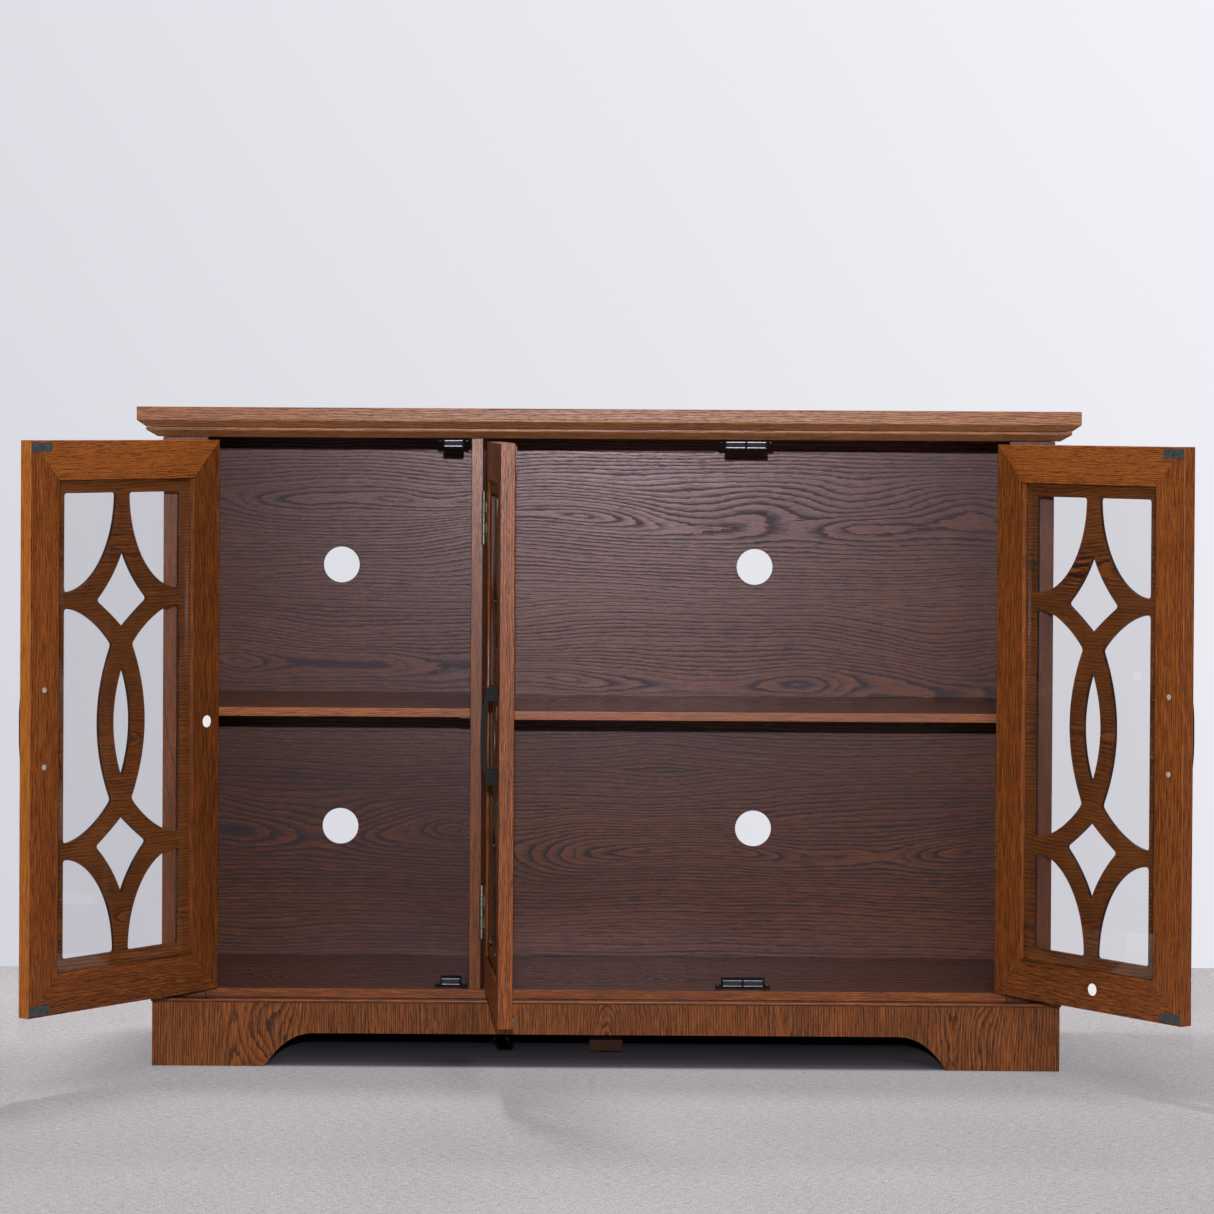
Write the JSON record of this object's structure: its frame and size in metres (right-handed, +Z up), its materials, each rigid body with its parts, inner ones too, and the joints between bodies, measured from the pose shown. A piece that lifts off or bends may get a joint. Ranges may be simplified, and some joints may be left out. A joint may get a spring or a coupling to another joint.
{
  "type": "media cabinet",
  "caption": "Low wide wooden media cabinet on an arched plinth, with shelves, cable holes and inset hinged doors of fretwork over glass.",
  "frame": {"origin": "floor level, centre of the centre foot's glide", "axes": "+X to the right seen from the front, +Y towards the back, +Z up; the doors face -Y"},
  "size_m": [1.4646, 0.6729, 0.863],
  "materials": {
    "oak": "satin warm-brown stained oak veneer",
    "oak_fretwork": "satin stained oak, grain across the fretwork",
    "oak_back": "matt stained oak veneer with cathedral grain",
    "glass": "clear polished",
    "black_metal": "satin black",
    "black_plastic": "matt moulded black",
    "steel": "dull zinc plated",
    "hinge_metal": "nickel plated"
  },
  "bodies": {
    "carcass": {"top_board": "oak", "sub_top_board": "oak", "left_side_panel": "oak", "right_side_panel": "oak", "left_front_stile": "oak", "right_front_stile": "oak", "centre_divider": "oak", "bottom_board": "oak", "base_board": "oak", "left_back_panel": "oak_back", "right_back_panel": "oak_back", "left_shelf": "oak", "right_shelf": "oak", "front_plinth": "oak", "left_plinth": "oak", "right_plinth": "oak", "centre_foot": "oak", "left_top_catch": "black_plastic", "left_bottom_catch": "black_plastic", "centre_top_catch": "black_plastic", "centre_bottom_catch": "black_plastic", "left_door_upper_hinge_fixed_leaf": "hinge_metal", "left_door_lower_hinge_fixed_leaf": "hinge_metal", "middle_door_upper_hinge_fixed_leaf": "hinge_metal", "middle_door_lower_hinge_fixed_leaf": "hinge_metal", "right_door_upper_hinge_fixed_leaf": "hinge_metal", "right_door_lower_hinge_fixed_leaf": "hinge_metal"},
    "left_door": {"left_door_hinge_stile": "oak", "left_door_free_stile": "oak", "left_door_bottom_rail": "oak", "left_door_top_rail": "oak", "left_door_lattice": "oak_fretwork", "left_door_glass": "glass", "left_door_handle": "black_metal", "left_door_upper_strike_plate": "steel", "left_door_upper_hinge_door_leaf": "hinge_metal", "left_door_lower_strike_plate": "steel", "left_door_lower_hinge_door_leaf": "hinge_metal"},
    "middle_door": {"middle_door_hinge_stile": "oak", "middle_door_free_stile": "oak", "middle_door_bottom_rail": "oak", "middle_door_top_rail": "oak", "middle_door_lattice": "oak_fretwork", "middle_door_glass": "glass", "middle_door_handle": "black_metal", "middle_door_upper_strike_plate": "steel", "middle_door_upper_hinge_door_leaf": "hinge_metal", "middle_door_lower_strike_plate": "steel", "middle_door_lower_hinge_door_leaf": "hinge_metal"},
    "right_door": {"right_door_hinge_stile": "oak", "right_door_free_stile": "oak", "right_door_bottom_rail": "oak", "right_door_top_rail": "oak", "right_door_lattice": "oak_fretwork", "right_door_glass": "glass", "right_door_handle": "black_metal", "right_door_upper_strike_plate": "steel", "right_door_upper_hinge_door_leaf": "hinge_metal", "right_door_lower_strike_plate": "steel", "right_door_lower_hinge_door_leaf": "hinge_metal"}
  },
  "joints": [
    {"name": "left_door_hinge", "type": "hinge", "parent": "carcass", "child": "left_door", "pos_m": [-0.5237, -0.1312, 0.4615], "axis": [0, 0, -1], "range_deg": [-127, 48]},
    {"name": "middle_door_hinge", "type": "hinge", "parent": "carcass", "child": "middle_door", "pos_m": [-0.1632, -0.1312, 0.4615], "axis": [0, 0, -1], "range_deg": [-85, 35]},
    {"name": "right_door_hinge", "type": "hinge", "parent": "carcass", "child": "right_door", "pos_m": [0.5237, -0.1312, 0.4615], "axis": [0, 0, 1], "range_deg": [-127, 48]}
  ]
}
